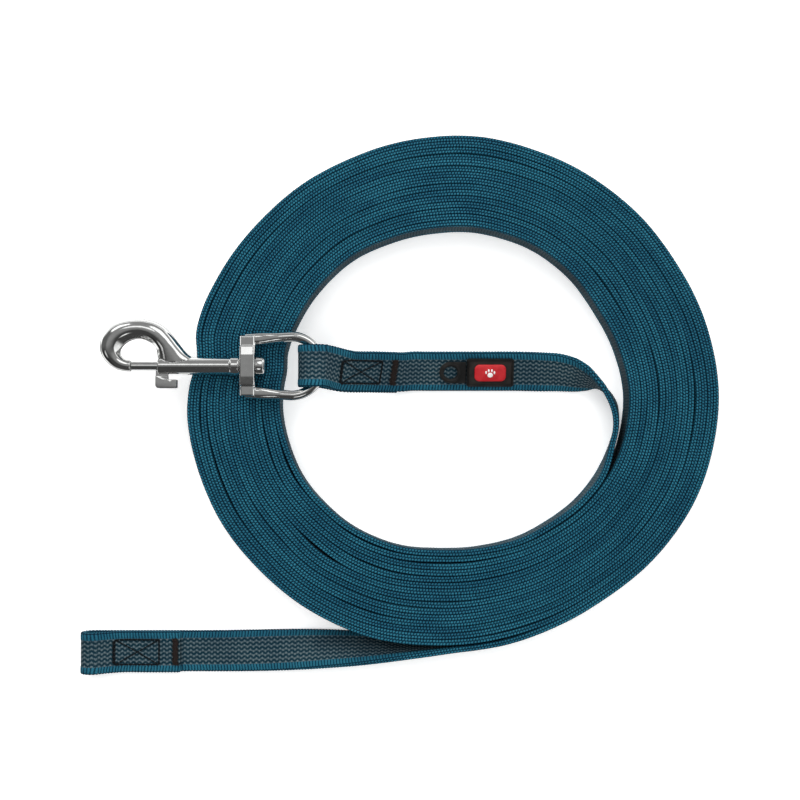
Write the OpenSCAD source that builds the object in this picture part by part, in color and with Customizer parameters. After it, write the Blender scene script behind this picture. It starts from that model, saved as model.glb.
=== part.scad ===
// Training leash: a long flat strap wound on edge into a coil, with a
// swivel snap hook sewn into its inner end and a small sewn loop at its
// outer end. The leash lies on a table: z = 0 is the table, the hook
// points along -X and the origin is the middle of the leash's footprint.

/* [Webbing] */
// Width of the strap
web_w = 19.5; // [19:0.1:20]
// Thickness of one layer of strap
web_t = 2.8; // [2.4:0.1:2.8]

/* [Coil] */
// Radius of the coil's inner wall
coil_r_in = 76.5; // [75:0.5:78]
// Radius of the coil's outer wall
coil_r_out = 120; // [119:0.5:120]
// How far each half of the coil is drawn out along X
coil_stretch = 3.8; // [3:0.1:4]

/* [Snap hook] */
// Height of the hook's axis above the table
hook_z = 24.5; // [24.5:0.1:26]
// Diameter of the barrel
barrel_d = 8.1; // [8:0.1:9]
// Diameter of the collar and of the rivet's head
collar_d = 9.1; // [9:0.1:9.2]
// Diameter of the sliding bolt
bolt_d = 4.1; // [3.8:0.1:4.2]
// How far the bolt slides back
bolt_travel = 9; // [8:0.5:9]
// Free opening between the nose and the barrel
gate_gap = 12.9; // [12:0.1:13]

/* [Swivel eye] */
// Diameter of the eye's bar
eye_bar_d = 4.4; // [4:0.1:4.4]
// Radius of the bar's centre line where it bends round
eye_bend_r = 13.7; // [13.7:0.1:14]

/* [Label] */
// Length of the rubber label
label_l = 22.6; // [20:0.2:23]
// Height of the rubber label
label_h = 14; // [12:0.5:15]
// Thickness of the label's rim
label_t = 1.6; // [1.2:0.1:2]

/* [Hidden] */

// Coil
coil_pos = [27, 7.2];
// The outer turns bend in beside the hook, to this X and between these Y
coil_flat_x = -92.6;
coil_flat_y = [15, 50];

// Hook: its own origin is the middle of the barrel's open end
hook_pos = [-110.7, 18.5, hook_z];
running = 0.06;
barrel_r = barrel_d / 2;
barrel_l = 33.4;
collar_r = collar_d / 2;
collar_l = 4.5;
bolt_r = bolt_d / 2;
bolt_back = 12;
bore_r = bolt_r + running;
bow_flat = 0.88;

// Thumb lever, along the hook's axis and away from it
lever_x = [-1.1, 4.4];
lever_foot_x = 8.7;
lever_reach = 10.35;
lever_foot_h = 4.05;
lever_stem_w = 2.8;
lever_foot_w = 4.6;
spigot_r = 1.2;
slot_w = 3.1;
slot_end = lever_x[1] + bolt_travel + 0.3;

// Centre line of the bow, from the nose round the top and into the barrel
bow_rows = concat(
    [[-gate_gap, 0, 2.6]],
    arc_rows([-17.1, 5.6], 5.6, -90, -180, 2.9, 4.6, 5),
    arc_rows([-11.1, 5.6], 11.6, 180, 90, 4.6, 4.7, 7),
    arc_rows([-11.1, -0.9], 18.1, 90, 35, 4.7, 4.9, 6),
    arc_rows([15.05, 9], 9, 215, 270, 4.6, 3.9, 5),
    [[15.05, 0, 3.9]]
);

// Swivel
eye_x = [38.1, 45.2];
eye_boss = [18.6, 9.2];
eye_bar_base = [27.8, 6.8];
eye_bar_r = eye_bar_d / 2;
eye_bend_x = 62.2;
eye_arm_y = 12.2;
arm_lap = 0.6;
arm_swell = 0.12;
pin_head_l = 4.35;
pin_tip_x = 30.5;

// Coil spring between the bolt's back end and the pin's tip
spring_turns = 8;
spring_x = [bolt_back + 0.6, pin_tip_x - 0.6];
spring_r = 1.5;
wire_r = 0.28;

// Strap loop round the eye: the fold's axis, and how steeply it leads down
loop_pos = [-37.7, hook_pos[1], hook_z];
loop_r = 5.4;
loop_nip = 12.4;
loop_slope = 24;
loop_stack = 43.5;

// Strap loop at the outer end
end_r = 3.2;
end_nip = 9.8;
end_pos = [-150.8 + end_r + web_t, -127.2 + web_w / 2, end_r + web_t];
end_stack = 41.3;
graze = 0.05;

// Stitching: a box with a cross in it and a bar, as [start, length] along
// the strap from each fold, on its upper face
thread_t = 0.5;
thread_w = 0.8;
tack_t = 0.8;
hook_box = [13.2, 21.6];
hook_tack = [38.2, 4];
end_box = [10.8, 21.4];
end_tack = [37.4, 3.4];
box_h = 12;
tack_h = 12.4;

// Label and eyelet, on the rolled stretch of the inner strap
strap_y = 17;
strap_z = 5;
strap_roll = 22;
label_x = 45;
eyelet_x = 26;
eyelet_end_x = 33.4;
label_rim_w = 1.1;
label_field_t = 1;
badge_l = 15;
badge_h = 8.4;
badge_t = 0.6;
mark_t = 0.3;

// Route of the inner strap, from the hook's sewn end into the first turn:
// middle of the strap, and its roll from flat (0) to standing on edge (90)
stack_dir = [cos(loop_slope), 0, -sin(loop_slope)];
stack_up = [sin(loop_slope), 0, cos(loop_slope)];
inner_start = loop_pos + loop_stack * stack_dir + web_t / 2 * stack_up;
inner_route = [
    [inner_start[0], inner_start[1], inner_start[2], 0],
    [8, 18, 6.1, 12],
    [14, 17.4, 5.1, 20],
    [19, strap_y, strap_z, strap_roll],
    [34, strap_y, strap_z, strap_roll],
    [46, strap_y, strap_z, strap_roll],
    [58, strap_y, strap_z, strap_roll],
    [70, 16.7, 5.2, 24],
    [78, 16.3, 6.2, 31],
    [85, 15, 7.6, 44],
    [91, 13, 9, 64],
    [96, 10.4, 9.9, 88],
    [100, 6.5, 9.9, 101],
    [102.6, 1, 9.9, 102],
    [103.8, -5, 9.9, 96],
    [103.2, -11.5, 9.9, 91],
    [101.2, -17.5, 9.9, 90],
];

// Route of the outer strap, from the coil's last turn to the sewn end loop
outer_route = [
    [50, -113.3, 9.8, 90],
    [38.5, -114.4, 9.8, 90],
    [27, -114.9, 9.8, 88],
    [14, -116.1, 9.9, 80],
    [2, -116.6, 9.6, 66],
    [-10, -116.7, 8.5, 50],
    [-21, -116.7, 7.4, 39],
    [-32, -116.8, 6.2, 30],
    [-46, -117, 4.8, 20],
    [-62, -117.2, 3.2, 10],
    [-78, -117.4, 2, 3],
    [-90, end_pos[1], web_t / 2, 0],
    [end_pos[0] + end_stack, end_pos[1], web_t / 2, 0],
];

// ---- sweeping ----------------------------------------------------------

function unit(v) = v / norm(v);

// Middle of the strap at one row of a route
function spot(row) = [row[0], row[1], row[2]];

// Direction of travel at row i of a list of points
function heading(pts, i) =
    unit(pts[min(i + 1, len(pts) - 1)] - pts[max(i - 1, 0)]);

// Outline of a strap's section, with its corners taken off
function strap_outline(w, t, c) = [
    [w / 2, t / 2 - c], [w / 2 - c, t / 2], [c - w / 2, t / 2], [-w / 2, t / 2 - c],
    [-w / 2, c - t / 2], [c - w / 2, -t / 2], [w / 2 - c, -t / 2], [w / 2, c - t / 2],
];

// A section's points in space, at a place with directions for its two axes
function ring_at(p, across, up, outline) = [
    for (q = outline) p + q[0] * across + q[1] * up
];

// Rings of a strap along a route of [x, y, z, roll] rows
function strap_rings(route, outline) =
    let (pts = [for (row = route) spot(row)])
    [
        for (i = [0 : len(route) - 1])
        let (
            ahead = i == 0 && route == inner_route ? stack_dir : heading(pts, i),
            side = unit([-ahead[1], ahead[0], 0]),
            top = cross(ahead, side),
            roll = route[i][3]
        )
        ring_at(
            pts[i],
            cos(roll) * side + sin(roll) * top,
            cos(roll) * top - sin(roll) * side,
            outline
        )
    ];

// One closed solid through a list of rings that have the same count of points
module skin(rings) {
    n = len(rings[0]);
    last = len(rings) - 1;
    polyhedron(
        points = [for (ring = rings, p = ring) p],
        faces = concat(
            [[for (k = [0 : n - 1]) k]],
            [
                for (i = [0 : last - 1], k = [0 : n - 1], half = [0, 1])
                let (a = i * n + k, b = i * n + (k + 1) % n)
                half == 0 ? [a, a + n, b] : [b, a + n, b + n]
            ],
            [[for (k = [n - 1 : -1 : 0]) last * n + k]]
        ),
        convexity = 6
    );
}

// ---- strap -------------------------------------------------------------

module drawn_disc(r) {
    for (side = [-1, 1])
        translate([side * coil_stretch, 0])
            circle(r, $fn = 180);
    square([2 * coil_stretch, 2 * r], center = true);
}

module webbing_coil() {
    color("#1f5a70")
    difference() {
        translate([coil_pos[0], coil_pos[1], 0])
            linear_extrude(web_w)
            difference() {
                drawn_disc(coil_r_out);
                drawn_disc(coil_r_in);
            }
        translate([coil_flat_x - 20, coil_flat_y[0], -1])
            cube([20, coil_flat_y[1] - coil_flat_y[0], web_w + 2]);
    }
}

module inner_strap() {
    color("#3c5a66")
    skin(strap_rings(inner_route, strap_outline(web_w, web_t, 0.5)));
}

module outer_strap() {
    color("#3c5a66")
    skin(strap_rings(outer_route, strap_outline(web_w, web_t, 0.5)));
}

// Where a line from point p grazes a circle round the origin, a little
// inside it so that the two outlines cross
function touch(p, r, side) =
    let (a = atan2(p[1], p[0]) + side * acos(r / norm(p)))
    (r - graze) * [cos(a), sin(a)];

// Folded strap end, seen from the side in XZ: a fold of inner radius r round
// the origin, its two layers meeting at [nip, drop], sewn together to reach
module folded_end(r, nip, drop, reach) {
    meet = [nip, drop];
    high = [nip + 0.6, drop + web_t];
    low = [nip + 0.6, drop - web_t];
    rotate([90, 0, 0])
    difference() {
        union() {
            cylinder(h = web_w, r = r + web_t, center = true, $fn = 96);
            linear_extrude(web_w, center = true)
                polygon([
                    touch(high, r + web_t, 1), high, [reach, high[1]],
                    [reach, low[1]], low, touch(low, r + web_t, -1),
                ]);
        }
        cylinder(h = web_w + 2, r = r, center = true, $fn = 96);
        linear_extrude(web_w + 2, center = true)
            polygon([touch(meet, r, 1), meet, touch(meet, r, -1)]);
    }
}

module hook_loop() {
    color("#3c5a66")
    translate(loop_pos)
        rotate([0, loop_slope, 0])
        folded_end(loop_r, loop_nip, 0, loop_stack);
}

module end_loop() {
    color("#3c5a66")
    translate(end_pos)
        folded_end(end_r, end_nip, -end_r, end_stack);
}

// ---- stitching ---------------------------------------------------------

// A sewn box with a cross, lying on z = 0 and starting at x = 0
module box_stitch(l, h) {
    slant = atan2(h - thread_w, l - thread_w);
    diagonal = norm([l - thread_w, h - thread_w]);
    linear_extrude(thread_t) {
        difference() {
            translate([0, -h / 2])
                square([l, h]);
            translate([thread_w, thread_w - h / 2])
                square([l - 2 * thread_w, h - 2 * thread_w]);
        }
        for (side = [-1, 1])
            translate([l / 2, 0])
                rotate(side * slant)
                square([diagonal, thread_w], center = true);
    }
}

module bar_tack(l, h) {
    linear_extrude(tack_t)
        translate([0, -h / 2])
        square([l, h]);
}

// Upper face of the doubled strap at the hook, from the fold's axis
module on_hook_stack(x) {
    translate(loop_pos)
        rotate([0, loop_slope, 0])
        translate([x, 0, web_t])
        children();
}

// Upper face of the doubled strap at the outer end
module on_end_stack(x) {
    translate(end_pos + [x, 0, web_t - end_r])
        children();
}

module hook_box_stitch() {
    color("#16191c")
    on_hook_stack(hook_box[0])
        box_stitch(hook_box[1], box_h);
}

module hook_bar_tack() {
    color("#16191c")
    on_hook_stack(hook_tack[0])
        bar_tack(hook_tack[1], tack_h);
}

module end_box_stitch() {
    color("#16191c")
    on_end_stack(end_box[0])
        box_stitch(end_box[1], box_h);
}

module end_bar_tack() {
    color("#16191c")
    on_end_stack(end_tack[0])
        bar_tack(end_tack[1], tack_h);
}

// ---- label -------------------------------------------------------------

// Upper face of the rolled stretch of the inner strap
module on_strap(x) {
    translate([x, strap_y, strap_z])
        rotate([strap_roll, 0, 0])
        translate([0, 0, web_t / 2])
        children();
}

// Rectangle with rounded corners
module soft_square(l, h, r) {
    square([l - 2 * r, h], center = true);
    square([l, h - 2 * r], center = true);
    for (x = [-1, 1], y = [-1, 1])
        translate([x * (l / 2 - r), y * (h / 2 - r)])
            circle(r, $fn = 32);
}

module label_rim() {
    color("#1b1b1c")
    on_strap(label_x)
        linear_extrude(label_t)
        difference() {
            soft_square(label_l, label_h, 1.2);
            soft_square(label_l - 2 * label_rim_w, label_h - 2 * label_rim_w, 0.6);
        }
}

module label_field() {
    color("#3a3431")
    on_strap(label_x)
        linear_extrude(label_field_t)
        soft_square(label_l - 2 * label_rim_w, label_h - 2 * label_rim_w, 0.6);
}

// Long rounded badge on the label's field
module label_badge() {
    color("#b3201c")
    on_strap(label_x)
        translate([0, 0, label_field_t])
        linear_extrude(badge_t)
        soft_square(badge_l, badge_h, 2.4);
}

// Plain paw print: one pad and four toes
module label_mark() {
    color("#f2f2f0")
    on_strap(label_x)
        translate([0, -0.9, label_field_t + badge_t])
        linear_extrude(mark_t) {
            circle(1.25, $fn = 40);
            for (toe = [0 : 3])
                rotate(toe * 38 - 57)
                translate([0, 2.35])
                circle(0.58, $fn = 32);
        }
}

// Flat rubber eyelet, joined to the label by a short square tab
module eyelet_tab() {
    color("#1b1b1c")
    on_strap(eyelet_x)
        difference() {
            union() {
                cylinder(h = label_t, r = 5.3, $fn = 64);
                translate([0, -5.3, 0])
                    cube([eyelet_end_x - eyelet_x, 10.6, label_field_t]);
            }
            translate([0, 0, -1])
                cylinder(h = label_t + 2, r = 3.3, $fn = 64);
        }
}

// ---- swivel ------------------------------------------------------------

// A cylinder that lies along +X
module rod_x(x0, x1, r) {
    translate([x0, 0, 0])
        rotate([0, 90, 0])
        cylinder(h = x1 - x0, r = r, $fn = 64);
}

// The same, with its far rim taken off
module rivet_head(x0, x1, r, c) {
    rotate([0, 90, 0])
        rotate_extrude($fn = 96)
        polygon([[0, x0], [r, x0], [r, x1 - c], [r - c, x1], [0, x1]]);
}

// Block of [width, height] with its long edges taken off by c
module eye_block(size, c) {
    l = (eye_x[1] - eye_x[0]) / 2;
    h = size[1] / 2;
    translate([(eye_x[0] + eye_x[1]) / 2, 0, 0])
        rotate([90, 0, 0])
        linear_extrude(size[0], center = true)
        polygon([
            [l - c, h], [l, h - c], [l, c - h], [l - c, -h],
            [c - l, -h], [-l, c - h], [-l, h - c], [c - l, h],
        ]);
}

module swivel_eye() {
    arm_l = norm([eye_bend_x - eye_x[0] - 3.5, eye_bend_r - eye_arm_y]);
    splay = atan2(eye_bend_r - eye_arm_y, eye_bend_x - eye_x[0] - 3.5);
    color("#c3c5c4")
    translate(hook_pos)
    difference() {
        union() {
            eye_block(eye_boss, 0.8);
            eye_block(eye_bar_base, 0.8);
            for (side = [-1, 1])
                translate([eye_x[0] + 3.5, side * eye_arm_y, 0])
                rotate([0, 0, side * splay])
                rod_x(0, arm_l + arm_lap, eye_bar_r + arm_swell);
            translate([eye_bend_x, 0, 0])
                rotate(-90)
                rotate_extrude(angle = 180, $fn = 96)
                translate([eye_bend_r, 0])
                circle(eye_bar_r, $fn = 48);
        }
        rod_x(eye_x[0] - 1, eye_x[1] + 1, bore_r + running);
    }
}

module swivel_pin() {
    color("#b9bbba")
    translate(hook_pos) {
        rod_x(pin_tip_x, eye_x[1] + 0.2, bore_r);
        rivet_head(eye_x[1] + 0.15, eye_x[1] + 0.15 + pin_head_l, collar_r, 0.7);
    }
}

// ---- hook --------------------------------------------------------------

// Points on an arc from angle a0 to a1, as [x, y, radius of the section]
function arc_rows(c, r, a0, a1, s0, s1, steps) = [
    for (i = [0 : steps - 1])
    let (f = i / steps, a = a0 + f * (a1 - a0))
    [c[0] + r * cos(a), c[1] + r * sin(a), s0 + f * (s1 - s0)]
];

function bow_rings(sides) =
    let (pts = [for (row = bow_rows) [row[0], row[1], 0]])
    [
        for (i = [0 : len(pts) - 1])
        let (
            ahead = i == 0 ? [-1, 0, 0] : i == len(pts) - 1 ? [1, 0, 0] : heading(pts, i),
            out = [-ahead[1], ahead[0], 0],
            r = bow_rows[i][2]
        )
        ring_at(
            pts[i], out, [0, 0, 1],
            [for (k = [0 : sides - 1]) r * [cos(k * 360 / sides), bow_flat * sin(k * 360 / sides)]]
        )
    ];

module hook_body() {
    color("#c3c5c4")
    translate(hook_pos)
    difference() {
        union() {
            skin(bow_rings(16));
            rod_x(0, barrel_l + 1, barrel_r);
            rod_x(barrel_l, barrel_l + collar_l, collar_r);
        }
        rod_x(-1, barrel_l + collar_l + 1, bore_r);
        translate([-1, -2 * barrel_r, -slot_w / 2])
            cube([slot_end + 1, 2 * barrel_r, slot_w]);
    }
}

module bolt() {
    color("#a8abab")
    translate(hook_pos)
    difference() {
        rod_x(0.15 - gate_gap, bolt_back, bolt_r);
        translate([(lever_x[0] + lever_x[1]) / 2, 0.6, 0])
            rotate([90, 0, 0])
            cylinder(h = bolt_r + 1.6, r = spigot_r, $fn = 48);
    }
}

module thumb_lever() {
    stem_y = bolt_r + 0.15;
    shoulder_y = barrel_r + 0.35;
    color("#b9bbba")
    translate(hook_pos) {
        translate([(lever_x[0] + lever_x[1]) / 2, 0.6, 0])
            rotate([90, 0, 0])
            cylinder(h = stem_y + 1.1, r = spigot_r, $fn = 48);
        translate([lever_x[0], -shoulder_y - 0.5, -lever_stem_w / 2])
            cube([lever_x[1] - lever_x[0], shoulder_y + 0.5 - stem_y, lever_stem_w]);
        translate([0, 0, -lever_foot_w / 2])
            linear_extrude(lever_foot_w)
            polygon([
                [lever_x[0], -shoulder_y],
                [lever_x[1], -shoulder_y],
                [lever_x[1], lever_foot_h - lever_reach],
                [lever_foot_x, lever_foot_h - lever_reach],
                [lever_foot_x, 0.6 - lever_reach],
                [lever_foot_x - 0.6, -lever_reach],
                [lever_x[0] + 1.6, -lever_reach],
                [lever_x[0], 1.6 - lever_reach],
            ]);
    }
}

// Middle line of the spring's wire, as rings of its section
function spring_rings(per_turn, sides) = [
    for (i = [0 : spring_turns * per_turn])
    let (
        a = i * 360 / per_turn,
        x = spring_x[0] + (spring_x[1] - spring_x[0]) * i / (spring_turns * per_turn)
    )
    ring_at(
        [x, spring_r * cos(a), spring_r * sin(a)],
        [1, 0, 0],
        [0, cos(a), sin(a)],
        [for (k = [0 : sides - 1]) wire_r * [cos(k * 360 / sides), sin(k * 360 / sides)]]
    )
];

module bolt_spring() {
    color("#8f9294")
    translate(hook_pos)
        skin(spring_rings(12, 6));
}

webbing_coil();
inner_strap();
outer_strap();
hook_loop();
end_loop();
hook_box_stitch();
hook_bar_tack();
end_box_stitch();
end_bar_tack();
label_rim();
label_field();
label_badge();
label_mark();
eyelet_tab();
swivel_eye();
swivel_pin();
hook_body();
bolt();
thumb_lever();
bolt_spring();
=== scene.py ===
"""Looks of the training leash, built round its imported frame. All lengths are in metres."""
import math

import bmesh
import bpy
import numpy as np
from mathutils import Matrix, Vector


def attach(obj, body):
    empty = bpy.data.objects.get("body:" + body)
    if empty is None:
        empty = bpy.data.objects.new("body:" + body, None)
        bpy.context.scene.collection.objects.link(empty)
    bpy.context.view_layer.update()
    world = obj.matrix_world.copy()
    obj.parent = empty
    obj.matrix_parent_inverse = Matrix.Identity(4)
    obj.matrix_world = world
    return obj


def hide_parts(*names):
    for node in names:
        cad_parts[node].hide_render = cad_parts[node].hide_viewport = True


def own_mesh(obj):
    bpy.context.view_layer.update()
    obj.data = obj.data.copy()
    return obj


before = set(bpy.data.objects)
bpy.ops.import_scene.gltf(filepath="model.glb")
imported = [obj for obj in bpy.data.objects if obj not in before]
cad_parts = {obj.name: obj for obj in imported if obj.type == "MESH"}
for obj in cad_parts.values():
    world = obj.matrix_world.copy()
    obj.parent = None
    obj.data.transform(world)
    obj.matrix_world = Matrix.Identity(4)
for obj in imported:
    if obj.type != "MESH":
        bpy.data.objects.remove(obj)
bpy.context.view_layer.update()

scene = bpy.context.scene
MM = 0.001


# ---- camera ------------------------------------------------------------------

CAMERA_AT = Vector((0.00175, -0.0122, 0.6))
CAMERA_AIM = Vector((0.00175, 0.0033, 0))


def make_camera():
    data = bpy.data.cameras.new("camera")
    data.sensor_width = 36
    data.lens = 55.66
    camera = bpy.data.objects.new("camera", data)
    camera.location = CAMERA_AT
    camera.rotation_mode = "QUATERNION"
    camera.rotation_quaternion = (CAMERA_AIM - CAMERA_AT).to_track_quat("-Z", "Y")
    scene.collection.objects.link(camera)
    scene.camera = camera


# ---- mesh helpers --------------------------------------------------------------

def mesh_object(name, points, faces, smooth=True):
    mesh = bpy.data.meshes.new(name)
    mesh.from_pydata([tuple(p) for p in points], [], faces)
    mesh.validate()
    mesh.polygons.foreach_set("use_smooth", [smooth] * len(mesh.polygons))
    obj = bpy.data.objects.new(name, mesh)
    scene.collection.objects.link(obj)
    return obj


def loft(rings, closed=False, caps=True):
    """Points and faces through rings of points, shape (rings, points, 3)."""
    rings = np.asarray(rings, float)
    count, size = rings.shape[:2]
    last = count if closed else count - 1
    i, k = np.meshgrid(np.arange(last), np.arange(size), indexing="ij")
    j, m = (i + 1) % count, (k + 1) % size
    quads = np.stack([i * size + k, i * size + m, j * size + m, j * size + k], -1)
    faces = quads.reshape(-1, 4).tolist()
    if caps and not closed:
        faces.append(list(range(size - 1, -1, -1)))
        faces.append([(count - 1) * size + n for n in range(size)])
    return rings.reshape(-1, 3), faces


def outward(obj):
    """Turns every face outward."""
    mesh = bmesh.new()
    mesh.from_mesh(obj.data)
    bmesh.ops.recalc_face_normals(mesh, faces=mesh.faces)
    mesh.to_mesh(obj.data)
    mesh.free()
    return obj


def sharp_over(obj, degrees):
    """Smooth shading, with a crease at edges that turn by more than this."""
    obj.data.polygons.foreach_set("use_smooth", [True] * len(obj.data.polygons))
    obj.data.set_sharp_from_angle(angle=math.radians(degrees))
    return obj


def apply_modifiers(obj):
    graph = bpy.context.evaluated_depsgraph_get()
    baked = bpy.data.meshes.new_from_object(obj.evaluated_get(graph))
    obj.modifiers.clear()
    obj.data = baked
    return obj


def joined(name, parts):
    """One object from several, whose own objects are removed."""
    mesh = bmesh.new()
    for part in parts:
        mesh.from_mesh(part.data)
        bpy.data.objects.remove(part)
    data = bpy.data.meshes.new(name)
    mesh.to_mesh(data)
    mesh.free()
    obj = bpy.data.objects.new(name, data)
    scene.collection.objects.link(obj)
    return obj


def ease(x, low, high):
    t = np.clip((x - low) / (high - low), 0, 1)
    return t * t * (3 - 2 * t)


# ---- the strap's route ------------------------------------------------------------

# The webbing: width, thickness, thickness with room in a fold, and length of one rib
WEB_W = 0.0195
WEB_T = 0.0026
LAYER = 0.0027
RIB = 0.00145

# A folded end: middle and radius of its fold, how far its two layers reach, and where they
# come together. At the hook it slopes, and between two distances it turns to the strap's roll.
LOOP_AT = np.array([-0.0377, 0.0185, 0.0245])
LOOP_SLOPE = math.radians(24)
LOOP_R = 0.0068
LOOP_STACK = 0.0435
LOOP_NIP = 0.0124
LOOP_TURN = (0.002, 0.013)
LOOP_SLIP = -0.0016
STRAP_Y = 0.017
STRAP_ROLL = 22

END_AT = np.array([-0.1448, -0.11745, 0.006])
END_R = 0.0046
END_STACK = 0.0413
END_NIP = 0.0098
END_DROP = -0.0032
END_LIFT = 0.00005

# Middle of the strap, and its roll from flat (0) to standing on edge (90)
INNER_ROUTE = [
    [0.008, 0.017, 0.0062, 22],
    [0.014, 0.017, 0.0052, 22],
    [0.019, 0.017, 0.005, 22],
    [0.034, 0.017, 0.005, 22],
    [0.046, 0.017, 0.005, 22],
    [0.058, 0.017, 0.005, 22],
    [0.070, 0.0167, 0.0052, 24],
    [0.078, 0.0163, 0.0062, 31],
    [0.085, 0.015, 0.0076, 44],
    [0.091, 0.013, 0.009, 64],
    [0.0963, 0.0104, 0.0099, 88],
    [0.1006, 0.0063, 0.0099, 100],
    [0.1036, 0.001, 0.0099, 103],
    [0.1048, -0.005, 0.0099, 101],
    [0.1046, -0.0115, 0.0099, 100],
    [0.1030, -0.0175, 0.0099, 98],
]
OUTER_ROUTE = [
    [0.050, -0.1109, 0.0098, 91],
    [0.0385, -0.1130, 0.0098, 91],
    [0.027, -0.1138, 0.0098, 87],
    [0.014, -0.1146, 0.0099, 80],
    [0.002, -0.1149, 0.0096, 70],
    [-0.010, -0.1150, 0.0089, 57],
    [-0.021, -0.1152, 0.0079, 46],
    [-0.032, -0.1155, 0.0069, 37],
    [-0.046, -0.1161, 0.0053, 25],
    [-0.062, -0.1168, 0.0035, 13],
    [-0.078, -0.1173, 0.0020, 4],
    [-0.090, -0.11745, 0.0014, 0],
    [-0.1035, -0.11745, 0.0014, 0],
]

COIL_AT = np.array([0.027, 0.0072])
COIL_START = math.radians(-18.4)
COIL_TURNS = 15.15
COIL_FIRST = 0.035
COIL_Z = 0.00985
COIL_RISE = 0.0009
LAYERS = 15
TIGHT = 0.00264
FIRST_STEP = 0.0034

# Under the hook the coil is pressed together: where, how wide, and by how much on each side
PINCH_AT = 173.5
PINCH_WIDE = 5.5
PINCH_INNER = 0.0016
PINCH_WALL = 0.0022

# Every 30 degrees round the coil: the innermost layer's radius and the wall's thickness
FIRST_R = MM * np.array([83.8, 80.1, 80.0, 78.9, 80.1, 82.2, 83.6, 83.2, 80.4, 76.5, 78.4, 83.7])
WALL = MM * np.array([41.8, 42.2, 41.1, 42.6, 41.4, 42.0, 43.4, 43.0, 43.6, 44.0, 41.2, 41.0])

# Where a layer stands off the next one: layer, angle and half width in degrees, gap in mm
LOOSE = [
    [11, 357, 12, 0.8], [5, 2, 14, 0.75], [3, 34, 9, 0.55], [8, 20, 9, 0.3], [12, 78, 15, 0.35],
    [7, 102, 10, 0.2], [12, 150, 15, 0.5], [14, 160, 9, 0.5], [3, 137, 18, 0.3], [13, 184, 6, 0.6],
    [12, 201, 13, 0.75], [3, 197, 10, 0.5], [1, 205, 9, 0.8], [6, 230, 6, 1.2], [11, 247, 10, 0.45],
    [9, 214, 8, 0.3], [2, 268, 15, 0.6], [1, 240, 14, 0.5], [14, 286, 14, 0.45],
    [4, 247, 12, 0.5], [5, 282, 13, 0.35], [9, 250, 16, 0.3], [8, 268, 9, 0.35],
    [1, 311, 10, 0.5], [10, 327, 9, 0.4], [5, 305, 8, 0.25],
]


def round_coil(values, theta):
    """A smooth value round the coil, through one value every 30 degrees."""
    waves = np.fft.rfft(values) / len(values)
    order = np.arange(len(waves))
    weight = np.where((order == 0) | (order == len(values) // 2), 1, 2)
    return (weight * waves * np.exp(1j * order * np.asarray(theta)[:, None])).real.sum(1)


def bell(theta, middle, wide):
    """1 at one angle round the coil, falling to 0 on both sides; degrees."""
    away = (np.degrees(theta) - middle + 180) % 360 - 180
    return np.exp(-((away / wide) ** 2))


def spacing(theta):
    """Distance from each layer of the coil to the next, and the part of it shared by all."""
    room = round_coil(WALL, theta) - PINCH_WALL * bell(theta, PINCH_AT, PINCH_WIDE)
    room = np.maximum(room - WEB_T - TIGHT * (LAYERS - 1), 0)
    loose = np.zeros((len(room), LAYERS + 2))
    for layer, middle, wide, gap in LOOSE:
        loose[:, layer - 1] += gap * MM * bell(theta, middle, wide)
    loose *= np.minimum(1, 0.95 * room / np.maximum(loose.sum(1), 1e-9))[:, None]
    even = (room - loose.sum(1)) / (LAYERS - 1)
    return TIGHT + even[:, None] + loose, even


def coil_rows(travel):
    """Rows of the strap's middle and roll, after so many turns of the coil."""
    travel = np.asarray(travel, float)
    theta = COIL_START - 2 * math.pi * travel
    turn = np.floor(travel)
    part = travel - turn
    layer = turn + ease(part, 0, 0.16)
    gaps, _ = spacing(theta)
    sums = np.concatenate([0 * gaps[:, :1], np.cumsum(gaps, 1)], 1)
    whole = np.clip(np.floor(layer - 1).astype(int), 0, LAYERS)
    rest = layer - 1 - whole
    index = np.arange(len(travel))
    r = round_coil(FIRST_R, theta) - PINCH_INNER * bell(theta, PINCH_AT, PINCH_WIDE)
    r += sums[index, whole] + rest * np.where(layer < 1, FIRST_STEP, gaps[index, whole])
    r += 0.00018 * np.sin(9 * theta + 0.4) + 0.00010 * np.sin(17 * theta + 1.9)
    x = COIL_AT[0] + r * np.cos(theta)
    y = COIL_AT[1] + r * np.sin(theta)
    lean = 2.2 * np.maximum(0, -np.sin(theta)) ** 1.5 * (1 - 0.035 * layer)
    roll = 90 + lean + 0.8 * np.sin(2 * theta + 0.2 * layer)
    ride = 0.5 + 0.3 * np.sin(1.9 * layer + 1.3 * np.sin(theta + layer))
    ride += 0.2 * np.sin(5 * theta + 2.3 * layer)
    z = COIL_Z + COIL_RISE * ride * (1 - bell(theta, 180, 26))
    return np.stack([x, y, z, roll], 1)


def with_across(rows):
    """[x, y, z, roll] rows as [x, y, z] and the direction of the strap's width."""
    rows = np.asarray(rows, float)
    at, roll = rows[:, :3], np.radians(rows[:, 3])
    ahead = np.gradient(at, axis=0)
    ahead /= np.linalg.norm(ahead, axis=1, keepdims=True)
    side = np.stack([-ahead[:, 1], ahead[:, 0], 0 * roll], 1)
    side /= np.linalg.norm(side, axis=1, keepdims=True)
    top = np.cross(ahead, side)
    across = np.cos(roll)[:, None] * side + np.sin(roll)[:, None] * top
    return np.concatenate([at, across], 1)


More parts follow.
